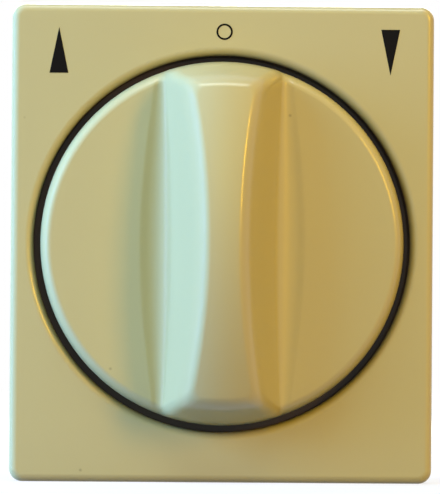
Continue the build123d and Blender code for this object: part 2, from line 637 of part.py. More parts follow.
# Base: round chamber for the rotor, detent pockets, stop blocks and channels for the busbars
pocket_x = (DETENT_POCKET_INNER + DETENT_POCKET_OUTER) / 2
channel_width = TERMINAL_WIDTH + SLIDE_GAP
channel_length = LEG_END_Z + SLIDE_GAP / 2 - CHANNEL_START
channel_z = CHANNEL_START + channel_length / 2
common_leg_width = 2 * COMMON_TERMINAL_X + TERMINAL_WIDTH + COMPARTMENT_GAP
stop_length = CHAMBER_RADIUS - STOP_INNER + HOUSING_EDGE
with BuildPart() as switch_base:
    with BuildSketch(level(BASE_BACK)):
        add(housing_outline())
    extrude(amount=BASE_DEPTH)
    with BuildSketch(level(CHAMBER_FLOOR)):
        Circle(CHAMBER_RADIUS)
    extrude(amount=CHAMBER_DEPTH, mode=Mode.SUBTRACT)
    with BuildSketch(level(STAR_BACK)):
        with Locations((-pocket_x, 0), (pocket_x, 0)):
            Rectangle(DETENT_POCKET_OUTER - DETENT_POCKET_INNER, DETENT_POCKET_LENGTH)
    extrude(amount=-STAR_BACK, mode=Mode.SUBTRACT)
    # Channels open to the front, in which the busbars are dropped in
    with BuildSketch(level(CHAMBER_FLOOR)):
        with Locations((-SIDE_TERMINAL_X, channel_z), (SIDE_TERMINAL_X, channel_z)):
            Rectangle(channel_width, channel_length)
        with Locations((0, -channel_z)):
            Rectangle(common_leg_width + SLIDE_GAP, channel_length)
    extrude(amount=CHAMBER_DEPTH, mode=Mode.SUBTRACT)
    with BuildSketch(level(BASE_BACK)):
        with Locations(
            (-SIDE_TERMINAL_X, LEG_Z + METAL_THICK / 2),
            (SIDE_TERMINAL_X, LEG_Z + METAL_THICK / 2),
        ):
            Rectangle(channel_width, METAL_THICK + SLIDE_GAP)
        with Locations((0, -LEG_Z - METAL_THICK / 2)):
            Rectangle(common_leg_width + SLIDE_GAP, METAL_THICK + SLIDE_GAP)
    extrude(amount=BASE_DEPTH - CHAMBER_DEPTH, mode=Mode.SUBTRACT)
    # Stop blocks for the rotor lug
    with BuildSketch(level(CHAMBER_FLOOR)):
        for side in (1, -1):
            with Locations(Location((0, 0, 0), (0, 0, side * STOP_ANGLE))):
                with Locations((side * (LUG_WIDTH + STOP_WIDTH) / 2, -STOP_INNER - stop_length / 2)):
                    Rectangle(STOP_WIDTH, stop_length)
    extrude(amount=STOP_HEIGHT)
    with BuildSketch(level(CHAMBER_FLOOR)):
        Circle(SPINDLE_RADIUS + BEARING_CLEARANCE)
    extrude(amount=SPINDLE_BACK - SPINDLE_END_GAP - CHAMBER_FLOOR, mode=Mode.SUBTRACT)
    with BuildSketch(level(BASE_BACK)):
        with Locations(*housing_rivet_places):
            Circle(HOUSING_RIVET_RADIUS + SEAT_GAP)
    extrude(amount=BASE_DEPTH, mode=Mode.SUBTRACT)
switch_base.part.label = "switch_base"
export_step(switch_base.part, "parts/switch_base.step")

# Front cover of the mechanism with the bearing collar of the spindle
with BuildPart() as mechanism_cover:
    with BuildSketch(level(0)):
        add(housing_outline(RIM_SEAT))
    extrude(amount=RING_THICK)
    with BuildSketch(level(RING_THICK)):
        add(housing_outline())
    extrude(amount=FLANGE_THICK)
    with BuildSketch(level(RING_THICK)):
        Circle(COLLAR_RADIUS)
    extrude(amount=COLLAR_HEIGHT)
    chamfer(mechanism_cover.faces().sort_by(Axis.Y)[0].edges(), SPINDLE_CHAMFER)
    with BuildSketch(level(0)):
        Circle(SPINDLE_RADIUS + BEARING_CLEARANCE)
    extrude(amount=COLLAR_TOP, mode=Mode.SUBTRACT)
    with BuildSketch(level(0)):
        with Locations(*housing_rivet_places):
            Circle(HOUSING_RIVET_RADIUS + SEAT_GAP)
    extrude(amount=FLANGE_FRONT, mode=Mode.SUBTRACT)
mechanism_cover.part.label = "mechanism_cover"
export_step(mechanism_cover.part, "parts/mechanism_cover.step")

# Terminal cover: clamp compartments, wire entries, button windows and the claw ramps
room_width = CLAMP_WIDTH + 2 * COMPARTMENT_GAP
room_near = CLAMP_FOOT_Z - CLAMP_THICK / 2 - SEAT_GAP
room_far = LEG_END_Z + SEAT_GAP
room_middle = (room_near + room_far) / 2
collar_depth = 2 * (room_far + SLIDE_GAP - WIRE_Z)
common_room_width = 2 * COMMON_TERMINAL_X + CLAMP_WIDTH + 2 * COMPARTMENT_GAP
ramp_run = (BASE_BACK - RAMP_START_LEVEL) * tan(radians(RAMP_ANGLE))
wire_places = (
    (-SIDE_TERMINAL_X, WIRE_Z),
    (SIDE_TERMINAL_X, WIRE_Z),
    (-COMMON_TERMINAL_X, -WIRE_Z),
    (COMMON_TERMINAL_X, -WIRE_Z),
)
with BuildPart() as terminal_cover:
    with BuildSketch(level(HOUSING_BACK)):
        add(housing_outline())
    extrude(amount=TERMINAL_DEPTH)
    chamfer(terminal_cover.faces().sort_by(Axis.Y)[-1].edges(), HOUSING_EDGE)
    with BuildSketch(level(COMPARTMENT_BACK)):
        with Locations((-SIDE_TERMINAL_X, room_middle), (SIDE_TERMINAL_X, room_middle)):
            Rectangle(room_width, room_far - room_near)
        with Locations((0, -room_middle)):
            Rectangle(common_room_width, room_far - room_near)
    extrude(amount=TERMINAL_DEPTH - REAR_WALL, mode=Mode.SUBTRACT)
    # Thicker wall around the wire entries
    with BuildSketch(level(COMPARTMENT_BACK)):
        with Locations((-SIDE_TERMINAL_X, WIRE_Z), (SIDE_TERMINAL_X, WIRE_Z)):
            Rectangle(room_width + 2 * SLIDE_GAP, collar_depth)
        with Locations((0, -WIRE_Z)):
            Rectangle(common_room_width + 2 * SLIDE_GAP, collar_depth)
    extrude(amount=WIRE_COLLAR)
    with BuildSketch(level(HOUSING_BACK)):
        with Locations(*wire_places):
            Circle(WIRE_RADIUS)
    extrude(amount=REAR_WALL + WIRE_COLLAR, mode=Mode.SUBTRACT)
    with BuildSketch(level(HOUSING_BACK)):
        with Locations(*wire_places):
            Circle(WIRE_RADIUS + WIRE_ENTRY_CHAMFER)
    extrude(amount=WIRE_ENTRY_CHAMFER, taper=CONE_ANGLE, mode=Mode.SUBTRACT)
    with BuildSketch(level(HOUSING_BACK)):
        with Locations((-SIDE_TERMINAL_X, BUTTON_Z), (SIDE_TERMINAL_X, BUTTON_Z)):
            Rectangle(SIDE_BUTTON_WIDTH + 2 * SLIDE_GAP, BUTTON_STEM + 2 * SLIDE_GAP)
        with Locations((0, -BUTTON_Z)):
            Rectangle(COMMON_BUTTON_WIDTH + 2 * SLIDE_GAP, BUTTON_STEM + 2 * SLIDE_GAP)
    extrude(amount=REAR_WALL, mode=Mode.SUBTRACT)
    # Ramps that push the claws outwards
    for z in (RAMP_OUTER_Z, -RAMP_INNER_Z):
        for side in (1, -1):
            with BuildSketch(across(z)):
                with BuildLine():
                    Polyline(
                        (side * (HOUSING_WIDTH / 2 - RAMP_ROOT), RAMP_START_LEVEL),
                        (side * HOUSING_WIDTH / 2, RAMP_START_LEVEL),
                        (side * (HOUSING_WIDTH / 2 + ramp_run), BASE_BACK),
                        (side * (HOUSING_WIDTH / 2 - RAMP_ROOT), BASE_BACK),
                        close=True,
                    )
                make_face()
            extrude(amount=RAMP_OUTER_Z - RAMP_INNER_Z)
    with BuildSketch(level(HOUSING_BACK)):
        with Locations(*housing_rivet_places):
            Circle(HOUSING_RIVET_RADIUS + SEAT_GAP)
    extrude(amount=TERMINAL_DEPTH, mode=Mode.SUBTRACT)
terminal_cover.part.label = "terminal_cover"
export_step(terminal_cover.part, "parts/terminal_cover.step")

# Two long tubular rivets that hold the housing together
rivet_head_radius = HOUSING_RIVET_RADIUS + RIVET_HEAD_OVERLAP
with BuildPart() as housing_rivets:
    for back in (HOUSING_BACK - RIVET_HEAD_THICK, FLANGE_FRONT):
        with BuildSketch(level(back)):
            with Locations(*housing_rivet_places):
                Circle(rivet_head_radius)
        extrude(amount=RIVET_HEAD_THICK)
    with BuildSketch(level(HOUSING_BACK)):
        with Locations(*housing_rivet_places):
            Circle(HOUSING_RIVET_RADIUS)
    extrude(amount=FLANGE_FRONT - HOUSING_BACK)
    chamfer(housing_rivets.faces().sort_by(Axis.Y)[0].edges(), RIVET_HEAD_THICK / 2)
    with BuildSketch(level(HOUSING_BACK - RIVET_HEAD_THICK)):
        with Locations(*housing_rivet_places):
            Circle(RIVET_BORE_RADIUS)
    extrude(amount=RIVET_BORE_DEPTH, mode=Mode.SUBTRACT)
housing_rivets.part.label = "housing_rivets"
export_step(housing_rivets.part, "parts/housing_rivets.step")

# Brass busbars: the common one with its round track, one each for up and down
with BuildPart() as common_busbar:
    with BuildSketch(level(CHAMBER_FLOOR)):
        Circle(COMMON_TRACK_RADIUS + COMMON_TRACK_WIDTH / 2)
        with Locations((0, -(COMMON_STRIP_START + COMMON_LEG_START) / 2)):
            Rectangle(TERMINAL_WIDTH, COMMON_LEG_START - COMMON_STRIP_START)
        with Locations((0, -(COMMON_LEG_START + LEG_END_Z) / 2)):
            Rectangle(common_leg_width, LEG_END_Z - COMMON_LEG_START)
        Circle(COMMON_TRACK_RADIUS - COMMON_TRACK_WIDTH / 2, mode=Mode.SUBTRACT)
    extrude(amount=METAL_THICK)
    with BuildSketch(level(LEG_BACK)):
        with Locations((0, -LEG_Z - METAL_THICK / 2)):
            Rectangle(common_leg_width, METAL_THICK)
    extrude(amount=BUSBAR_FRONT - LEG_BACK)
common_busbar.part.label = "common_busbar"
export_step(common_busbar.part, "parts/common_busbar.step")

contact_x = CONTACT_RADIUS * sin(radians(CONTACT_ANGLE))
contact_z = CONTACT_RADIUS * cos(radians(CONTACT_ANGLE))
with BuildPart() as down_busbar:
    with BuildSketch(level(CHAMBER_FLOOR)):
        with Locations((contact_x, contact_z)):
            Circle(CONTACT_PAD_RADIUS)
        with Locations((SIDE_TERMINAL_X, (contact_z + LEG_END_Z) / 2)):
            Rectangle(TERMINAL_WIDTH, LEG_END_Z - contact_z)
        with Locations((contact_x, contact_z)):
            Circle(CONTACT_SHANK_RADIUS, mode=Mode.SUBTRACT)
    extrude(amount=METAL_THICK)
    with BuildSketch(level(LEG_BACK)):
        with Locations((SIDE_TERMINAL_X, LEG_Z + METAL_THICK / 2)):
            Rectangle(TERMINAL_WIDTH, METAL_THICK)
    extrude(amount=BUSBAR_FRONT - LEG_BACK)
down_busbar.part.label = "down_busbar"
export_step(down_busbar.part, "parts/down_busbar.step")

with BuildPart() as up_busbar:
    mirror(down_busbar.part, about=Plane.YZ)
up_busbar.part.label = "up_busbar"
export_step(up_busbar.part, "parts/up_busbar.step")

# Silver rivets in the pads of the up and down busbars
with BuildPart() as fixed_contact_rivets:
    with BuildSketch(level(CHAMBER_FLOOR)):
        with Locations((-contact_x, contact_z), (contact_x, contact_z)):
            Circle(CONTACT_SHANK_RADIUS)
    extrude(amount=METAL_THICK)
    with BuildSketch(level(BUSBAR_FRONT)):
        with Locations((-contact_x, contact_z), (contact_x, contact_z)):
            Circle(CONTACT_HEAD_RADIUS)
    extrude(amount=CONTACT_HEAD_THICK)
fixed_contact_rivets.part.label = "fixed_contact_rivets"
export_step(fixed_contact_rivets.part, "parts/fixed_contact_rivets.step")


def clamp_spring(middle_x, side):
    """Bent leaf that presses a wire against the leg of its busbar; side is 1 above, -1 below."""
    with BuildPart() as leaf:
        with BuildSketch(along(middle_x - CLAMP_WIDTH / 2)):
            with BuildLine():
                FilletPolyline(
                    (side * CLAMP_FOOT_Z, COMPARTMENT_BACK + SEAT_GAP),
                    (side * CLAMP_FOOT_Z, CLAMP_CORNER_LEVEL),
                    (side * CLAMP_END_Z, CLAMP_END_LEVEL),
                    radius=CLAMP_BEND,
                )
            trace(line_width=CLAMP_THICK)
        extrude(amount=CLAMP_WIDTH)
    return leaf.part


with BuildPart() as up_clamp_spring:
    add(clamp_spring(-SIDE_TERMINAL_X, 1))
up_clamp_spring.part.label = "up_clamp_spring"
export_step(up_clamp_spring.part, "parts/up_clamp_spring.step")

with BuildPart() as down_clamp_spring:
    add(clamp_spring(SIDE_TERMINAL_X, 1))
down_clamp_spring.part.label = "down_clamp_spring"
export_step(down_clamp_spring.part, "parts/down_clamp_spring.step")

with BuildPart() as common_clamp_springs:
    add(clamp_spring(-COMMON_TERMINAL_X, -1))
    add(clamp_spring(COMMON_TERMINAL_X, -1))
common_clamp_springs.part.label = "common_clamp_springs"
export_step(common_clamp_springs.part, "parts/common_clamp_springs.step")


def release_button(middle_x, middle_z, stem_width):
    """Push button: a stem through the rear wall, a flange inside it and a nose up to the spring."""
    place = (middle_x, middle_z)
    with BuildPart() as button:
        with BuildSketch(level(HOUSING_BACK - BUTTON_PROUD)):
            with Locations(place):
                Rectangle(stem_width, BUTTON_STEM)
        extrude(amount=REAR_WALL + BUTTON_PROUD + SEAT_GAP)
        with BuildSketch(level(COMPARTMENT_BACK + SEAT_GAP)):
            with Locations(place):
                Rectangle(stem_width + 2 * BUTTON_FLANGE_EDGE, BUTTON_STEM + 2 * BUTTON_FLANGE_EDGE)
        extrude(amount=BUTTON_FLANGE_THICK)
        with BuildSketch(level(COMPARTMENT_BACK + SEAT_GAP)):
            with Locations(place):
                Rectangle(stem_width - 2 * SLIDE_GAP, BUTTON_NOSE_THICK)
        extrude(amount=BUTTON_NOSE_LEVEL - COMPARTMENT_BACK - SEAT_GAP)
        chamfer(button.faces().sort_by(Axis.Y)[-1].edges(), BUTTON_CHAMFER)
    return button.part


with BuildPart() as up_release_button:
    add(release_button(-SIDE_TERMINAL_X, BUTTON_Z, SIDE_BUTTON_WIDTH))
up_release_button.part.label = "up_release_button"
export_step(up_release_button.part, "parts/up_release_button.step")

with BuildPart() as down_release_button:
    add(release_button(SIDE_TERMINAL_X, BUTTON_Z, SIDE_BUTTON_WIDTH))
down_release_button.part.label = "down_release_button"
export_step(down_release_button.part, "parts/down_release_button.step")

with BuildPart() as common_release_button:
    add(release_button(0, -BUTTON_Z, COMMON_BUTTON_WIDTH))
common_release_button.part.label = "common_release_button"
export_step(common_release_button.part, "parts/common_release_button.step")

# Bent leaf springs that drop into the notches of the star
nose_x = NOTCH_CENTRE - NOTCH_RADIUS + DETENT_NOTCH_GAP + DETENT_SHEET / 2
shoulder_x = nose_x + DETENT_NOSE_DEPTH
detent_end_x = DETENT_POCKET_OUTER - DETENT_SHEET / 2 - SEAT_GAP
with BuildPart() as right_detent_spring:
    with BuildSketch(level(STAR_BACK + (STAR_THICK - DETENT_HEIGHT) / 2)):
        with BuildLine():
            FilletPolyline(
                (detent_end_x, -DETENT_HALF),
                (shoulder_x, -DETENT_NOSE_HALF),
                (nose_x, 0),
                (shoulder_x, DETENT_NOSE_HALF),
                (detent_end_x, DETENT_HALF),
                radius=DETENT_SHEET,
            )
        trace(line_width=DETENT_SHEET)
    extrude(amount=DETENT_HEIGHT)
right_detent_spring.part.label = "right_detent_spring"
export_step(right_detent_spring.part, "parts/right_detent_spring.step")

with BuildPart() as left_detent_spring:
    mirror(right_detent_spring.part, about=Plane.YZ)
left_detent_spring.part.label = "left_detent_spring"
export_step(left_detent_spring.part, "parts/left_detent_spring.step")

# Claw screws, their square nuts and the bent sheet claws
with BuildPart() as right_claw_screw:
    with BuildSketch(level(RING_THICK)):
        with Locations((CLAW_SCREW_X, 0)):
            Circle(CLAW_SCREW_HEAD)
    extrude(amount=CLAW_SCREW_HEAD_THICK)
    chamfer(right_claw_screw.faces().sort_by(Axis.Y)[0].edges(), CLAW_SCREW_EDGE)
    with BuildSketch(level(CLAW_SCREW_BACK)):
        with Locations((CLAW_SCREW_X, 0)):
            Circle(CLAW_SCREW_RADIUS)
    extrude(amount=RING_THICK - CLAW_SCREW_BACK)
    with BuildSketch(level(RING_THICK + CLAW_SCREW_HEAD_THICK)):
        with Locations((CLAW_SCREW_X, 0)):
            Rectangle(2 * CLAW_SCREW_HEAD + CUT_OVERRUN, CLAW_SLOT_WIDTH)
    extrude(amount=-CLAW_SLOT_DEPTH, mode=Mode.SUBTRACT)
    chamfer(right_claw_screw.faces().sort_by(Axis.Y)[-1].edges(), CLAW_SCREW_EDGE)
right_claw_screw.part.label = "right_claw_screw"
export_step(right_claw_screw.part, "parts/right_claw_screw.step")

with BuildPart() as left_claw_screw:
    mirror(right_claw_screw.part, about=Plane.YZ)
left_claw_screw.part.label = "left_claw_screw"
export_step(left_claw_screw.part, "parts/left_claw_screw.step")

with BuildPart() as right_claw_nut:
    with BuildSketch(level(CLAW_NUT_BACK)):
        with Locations((CLAW_SCREW_X, 0)):
            Rectangle(CLAW_NUT_SIZE, CLAW_NUT_SIZE)
            Circle(CLAW_SCREW_RADIUS + SCREW_CLEARANCE, mode=Mode.SUBTRACT)
    extrude(amount=CLAW_NUT_THICK)
right_claw_nut.part.label = "right_claw_nut"
export_step(right_claw_nut.part, "parts/right_claw_nut.step")

with BuildPart() as left_claw_nut:
    mirror(right_claw_nut.part, about=Plane.YZ)
left_claw_nut.part.label = "left_claw_nut"
export_step(left_claw_nut.part, "parts/left_claw_nut.step")

claw_leg_x = CLAW_SCREW_X + CLAW_LEG_REACH
claw_tip_x = CLAW_SCREW_X + CLAW_TIP_REACH
fork_start_x = CLAW_INNER_X - CLAW_SHEET
fork_end_x = CLAW_SCREW_X + CLAW_SCREW_RADIUS + SCREW_HOLE_GAP
with BuildPart() as right_claw:
    with BuildSketch(across(CLAW_WIDTH / 2)):
        with BuildLine():
            FilletPolyline(
                (CLAW_INNER_X, CLAW_LEVEL),
                (claw_leg_x, CLAW_LEVEL),
                ((claw_leg_x + claw_tip_x) / 2, CLAW_KNEE_LEVEL),
                (claw_tip_x, CLAW_TIP_LEVEL),
                radius=CLAW_BEND_RADIUS,
            )
        trace(line_width=CLAW_SHEET)
    extrude(amount=CLAW_WIDTH)
    # Fork around the screw and teeth at the tip
    with BuildSketch(level(CLAW_NUT_FRONT)):
        with Locations(((fork_start_x + fork_end_x) / 2, 0)):
            Rectangle(fork_end_x - fork_start_x, 2 * CLAW_SCREW_RADIUS + SLIDE_GAP)
    extrude(amount=2 * CLAW_SHEET, mode=Mode.SUBTRACT)
    with BuildSketch(along(CLAW_SCREW_X)):
        for z in (-CLAW_TOOTH_SPACING, 0.0, CLAW_TOOTH_SPACING):
            with BuildLine():
                Polyline(
                    (z - CLAW_TOOTH_HALF, CLAW_TIP_LEVEL + CUT_OVERRUN),
                    (z, CLAW_TIP_LEVEL - CLAW_TOOTH_DEPTH),
                    (z + CLAW_TOOTH_HALF, CLAW_TIP_LEVEL + CUT_OVERRUN),
                    close=True,
                )
            make_face()
    extrude(amount=CLAW_TIP_REACH + CLAW_SHEET, mode=Mode.SUBTRACT)
right_claw.part.label = "right_claw"
export_step(right_claw.part, "parts/right_claw.step")

with BuildPart() as left_claw:
    mirror(right_claw.part, about=Plane.YZ)
left_claw.part.label = "left_claw"
export_step(left_claw.part, "parts/left_claw.step")
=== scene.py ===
import json
from math import cos, pi, radians, sin, tan

import bmesh
import bpy
from mathutils import Matrix, Vector


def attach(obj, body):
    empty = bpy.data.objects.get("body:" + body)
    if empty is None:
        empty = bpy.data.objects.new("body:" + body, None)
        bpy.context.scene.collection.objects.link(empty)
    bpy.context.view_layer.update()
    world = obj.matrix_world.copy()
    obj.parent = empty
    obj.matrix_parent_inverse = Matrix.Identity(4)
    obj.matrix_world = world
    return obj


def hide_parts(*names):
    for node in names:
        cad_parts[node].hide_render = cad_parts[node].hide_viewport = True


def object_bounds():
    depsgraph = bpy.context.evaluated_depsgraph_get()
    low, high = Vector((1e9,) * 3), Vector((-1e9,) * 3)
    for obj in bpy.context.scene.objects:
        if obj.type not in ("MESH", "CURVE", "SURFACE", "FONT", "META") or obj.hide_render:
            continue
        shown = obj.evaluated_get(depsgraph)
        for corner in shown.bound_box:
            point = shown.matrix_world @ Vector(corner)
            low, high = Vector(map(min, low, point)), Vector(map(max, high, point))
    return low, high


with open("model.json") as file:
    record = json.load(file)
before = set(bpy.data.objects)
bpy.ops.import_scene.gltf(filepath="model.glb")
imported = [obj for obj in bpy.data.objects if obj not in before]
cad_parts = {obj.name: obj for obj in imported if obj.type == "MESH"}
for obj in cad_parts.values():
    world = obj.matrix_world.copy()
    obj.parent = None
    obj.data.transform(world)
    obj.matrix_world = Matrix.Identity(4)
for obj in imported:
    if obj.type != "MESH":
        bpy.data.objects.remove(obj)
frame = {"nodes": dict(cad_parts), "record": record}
CAD_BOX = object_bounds()
MM = 0.001
MM_PER_M = 1000.0

# Sizes of the knob in millimetres; a level is a distance in front of the wall. They are those of its
# solid, but for the softer rounds and the scoops' foot, which follow the shading in the photograph
KNOB_SIZES = {
    "Radius": 30.1,
    "Rim Round": 1.7,
    "Bottom Level": 6.8,
    "Wing Level": 13.4,
    "Crown Level": 27.4,
    "Crown Long Radius": 77.0,
    "Crown Cross Radius": 22.0,
    "Arch Half": 12.1,
    "End Lean": 3.8,
    "End Rise": 10.5,
    "Foot": 9.2,
    "Foot Flare": 0.9,
    "Scoop Reach": 33.0,
    "Scoop Middle Radius": 3.6,
    "Scoop End Radius": 0.7,
    "Scoop Depth": 0.38,
    "Flank Draft": radians(22),
    "Scoop Blend": 0.25,
    "Crown Blend": 3.4,
    "End Blend": 4.4,
    "Wall": 2.0,
    "Hub Radius": 5.2,
    "Hub Level": 7.0,
    "Socket Radius": 3.05,
    "Socket Level": 22.0,
}

# Grid that the knob is drawn on: points along a side, the shares of its half at which the disc and the
# round of the rim end, with the skirt beyond them, and how much its columns gather in the middle
KNOB_GRID = 281
DISC_SHARE = 0.915
RIM_SHARE = 0.97
COLUMN_GATHER = 0.25

# Scoops: how their dip fades towards the ends, how much of the foot's round is drawn on its outer side,
# and how fast the wing's level stops holding the foot down on its inner side
SWELL_POWER = 1.5
FOOT_OUTER_SHARE = 0.98
RELEASE_SLOPE = 1000

# Finish of the meshes: points closer than the first are joined, edges bent by more than the second stay
# sharp, and the third is how far large faces lead the shading of the plate's rounds
WELD_DISTANCE = 0.001 * MM
SHARP_BEND = radians(25)
EVEN_WEIGHT = 100

# Plastic: its mottling, and the gloss of the cream pieces
MOTTLE_SCALE = 60.0
MOTTLE_PALER = 1.03
GLOSS_ROUGHNESS = 0.3
COAT_SHARE = 0.3
COAT_ROUGHNESS = 0.05

# Painted shade: a dark tint put in the gap round the knob, a ring in millimetres; the same tint colours
# the specks
GAP_SHADE_AND_SPECK_TINT = (62, 46, 16)
GAP_SHADE_ROUGHNESS = 0.85
GAP_SHADE_INNER = 29.2
GAP_SHADE_OUTER = 32.4
GAP_SHADE_TOP = 11.2
GAP_SHADE_FADE = 2.0

# Fine specks on the cream pieces; the radius is a share of the cell that each speck has
SPECK_SCALE = 95.0
SPECK_RADIUS = 0.035
SPECK_STRENGTH = 18.0
SPECK_MOST = 0.5

# Metal: the unevenness of its polish
POLISH_SCALE = 900.0
POLISH_LEAST = 0.8
POLISH_MOST = 1.25

# Signs printed on the plate, in millimetres, and the dullness of the ink
PLATE_LEVEL = 11.0
PRINT_THICK = 0.02
UP_ARROW_X = -27.24
DOWN_ARROW_X = 27.71
ARROW_LOW_Z = 28.08
ARROW_HIGH_Z = 35.7
ARROW_HALF_WIDTH = 1.57
RING_X = 0.15
RING_Z = 35.12
RING_OUTER_RADIUS = 1.36
RING_LINE = 0.32
RING_POINTS = 64
PRINT_ROUGHNESS = 0.6
PRINT_SPECULAR = 0.1

# Threads of the claw screws, in millimetres
THREAD_SIZES = {
    "Turns": 31.0,
    "Radius": 2.0,
    "Ridge": 0.2,
    "Length": 21.7,
}
THREAD_STEPS = 24
RIDGE_CORNERS = 4
THREAD_FRONT_LEVEL = -1.8
CLAW_SCREW_X = 24.2

# Camera: nearly square on, a little from the left and from below; distance in metres, aim in millimetres
VIEW_DISTANCE = 0.80
VIEW_FROM_LEFT = radians(1.4)
VIEW_FROM_BELOW = radians(1.3)
IMAGE_ROLL = radians(0.43)
IMAGE_WIDTH_PX = 440
PX_PER_MM = 6.04
AIM_X = -0.35
AIM_Z = -0.56
SENSOR_MM = 36.0

# Room: a dim light from all sides, and a floor that turns white with the distance, in metres
ROOM_TINT = (0.03, 0.025, 0.015)
WHITE = (1.0, 1.0, 1.0, 1.0)
FLOOR_HALF = 2.0
FLOOR_TINT = (128, 128, 128)
FLOOR_ROUGHNESS = 0.9
FLOOR_GLOW = 0.72
FLOOR_PALER = 0.4

# Curve that turns display values into linear light
DISPLAY_MOST = 255
CURVE_START = 0.04045
CURVE_SLOPE = 12.92
CURVE_OFFSET = 0.055
CURVE_POWER = 2.4


# Small helpers


def colour(red, green, blue):
    """Linear colour of a tint given in 0 to 255 display values."""
    parts = []
    for value in (red, green, blue):
        share = value / DISPLAY_MOST
        if share <= CURVE_START:
            parts.append(share / CURVE_SLOPE)
        else:
            parts.append(((share + CURVE_OFFSET) / (1 + CURVE_OFFSET)) ** CURVE_POWER)
    return (*parts, 1.0)


def link_object(name, data):
    """New object in the scene for the given mesh, lamp or camera."""
    thing = bpy.data.objects.new(name, data)
    bpy.context.scene.collection.objects.link(thing)
    return thing


def in_room(x, level, z):
    """Point in metres from millimetres: x to the right, level in front of the wall, z up."""
    return Vector((x, -level, z)) * MM


def face_outwards(mesh):
    """Turns the faces of a closed mesh outwards."""
    shape = bmesh.new()
    shape.from_mesh(mesh)
    bmesh.ops.recalc_face_normals(shape, faces=shape.faces)
    shape.to_mesh(mesh)
    shape.free()


# Rules for shapes, written as wires of a node tree


class Wire:
    """Number on a wire of a node tree, so that a rule reads as plain arithmetic."""

    def __init__(self, tree, socket):
        self.tree = tree
        self.socket = socket

    def math(self, operation, *terms):
        node = self.tree.nodes.new("ShaderNodeMath")
        node.operation = operation
        for socket, term in zip(node.inputs, terms):
            if isinstance(term, Wire):
                self.tree.links.new(term.socket, socket)
            else:
                socket.default_value = term
        return Wire(self.tree, node.outputs[0])

    def __add__(self, other):
        return self.math("ADD", self, other)

    def __sub__(self, other):
        return self.math("SUBTRACT", self, other)

    def __rsub__(self, other):
        return self.math("SUBTRACT", other, self)

    def __mul__(self, other):
        return self.math("MULTIPLY", self, other)

    def __truediv__(self, other):
        return self.math("DIVIDE", self, other)

    def __pow__(self, other):
        return self.math("POWER", self, other)

    def least(self, other):
        return self.math("MINIMUM", self, other)

    def most(self, other):
        return self.math("MAXIMUM", self, other)

    def share(self):
        """The number held between 0 and 1."""
        return self.most(0.0).least(1.0)

    def size(self):
        return self.math("ABSOLUTE", self)

    def root(self):
        return self.math("SQRT", self.most(0.0))

    def sine(self):
        return self.math("SINE", self)

    def cosine(self):
        return self.math("COSINE", self)


def soft_least(one, other, blend):
    """Lower of two heights, with the edge between them rounded."""
    overlap = (blend - (one - other).size()).most(0.0)
    return one.least(other) - overlap * overlap / (blend * 4)


def geometry_tree(name, sizes):
    """Empty geometry tree with named sizes as inputs; gives the tree and the sizes as wires."""
    tree = bpy.data.node_groups.new(name, "GeometryNodeTree")
    tree.interface.new_socket("Geometry", in_out="INPUT", socket_type="NodeSocketGeometry")
    for label in sizes:
        tree.interface.new_socket(label, in_out="INPUT", socket_type="NodeSocketFloat")
    tree.interface.new_socket("Geometry", in_out="OUTPUT", socket_type="NodeSocketGeometry")
    entry = tree.nodes.new("NodeGroupInput")
    wires = {label: Wire(tree, entry.outputs[label]) for label in sizes}
    return tree, wires


def point_place(tree, *axes):
    """Where each point of a mesh is along the given axes, as wires."""
    place = tree.nodes.new("GeometryNodeInputPosition")
    split = tree.nodes.new("ShaderNodeSeparateXYZ")
    tree.links.new(place.outputs["Position"], split.inputs[0])
    return [Wire(tree, split.outputs[axis]) for axis in axes]


def place_points(tree, geometry, x, level, z, selection=None):
    """Set Position: points go to the given millimetres in the room."""
    join = tree.nodes.new("ShaderNodeCombineXYZ")
    for socket, value in zip(join.inputs, (x * MM, level * -MM, z * MM)):
        tree.links.new(value.socket, socket)
    move = tree.nodes.new("GeometryNodeSetPosition")
    tree.links.new(geometry, move.inputs["Geometry"])
    tree.links.new(join.outputs["Vector"], move.inputs["Position"])
    if selection is not None:
        tree.links.new(selection, move.inputs["Selection"])
    return move.outputs["Geometry"]


def close_tree(tree, geometry, material):
    """Ends a tree: instances made real, smooth faces, material, output."""
    real = tree.nodes.new("GeometryNodeRealizeInstances")
    smooth = tree.nodes.new("GeometryNodeSetShadeSmooth")
    paint = tree.nodes.new("GeometryNodeSetMaterial")
    paint.inputs["Material"].default_value = material
    leave = tree.nodes.new("NodeGroupOutput")
    tree.links.new(geometry, real.inputs["Geometry"])
    tree.links.new(real.outputs["Geometry"], smooth.inputs["Geometry"])
    tree.links.new(smooth.outputs["Geometry"], paint.inputs["Geometry"])
    tree.links.new(paint.outputs["Geometry"], leave.inputs["Geometry"])


def grown_mesh(name, tree, sizes):
    """Plain mesh of what the tree makes with these sizes, its faces outwards."""
    grower = link_object(name + "_grower", bpy.data.meshes.new(name + "_seed"))
    modifier = grower.modifiers.new("shape", "NODES")
    modifier.node_group = tree
    for item in tree.interface.items_tree:
        if item.in_out == "INPUT" and item.name in sizes:
            modifier[item.identifier] = sizes[item.name]
    depsgraph = bpy.context.evaluated_depsgraph_get()
    mesh = bpy.data.meshes.new_from_object(grower.evaluated_get(depsgraph))
    mesh.name = name
    bpy.data.objects.remove(grower)
    face_outwards(mesh)
    return mesh


# Materials


def new_material(name):
    """Empty node material with its shader and output joined."""
    material = bpy.data.materials.new(name)
    material.use_nodes = True
    tree = material.node_tree
    tree.nodes.clear()
    shader = tree.nodes.new("ShaderNodeBsdfPrincipled")
    output = tree.nodes.new("ShaderNodeOutputMaterial")
    tree.links.new(shader.outputs["BSDF"], output.inputs["Surface"])
    return material, tree, shader


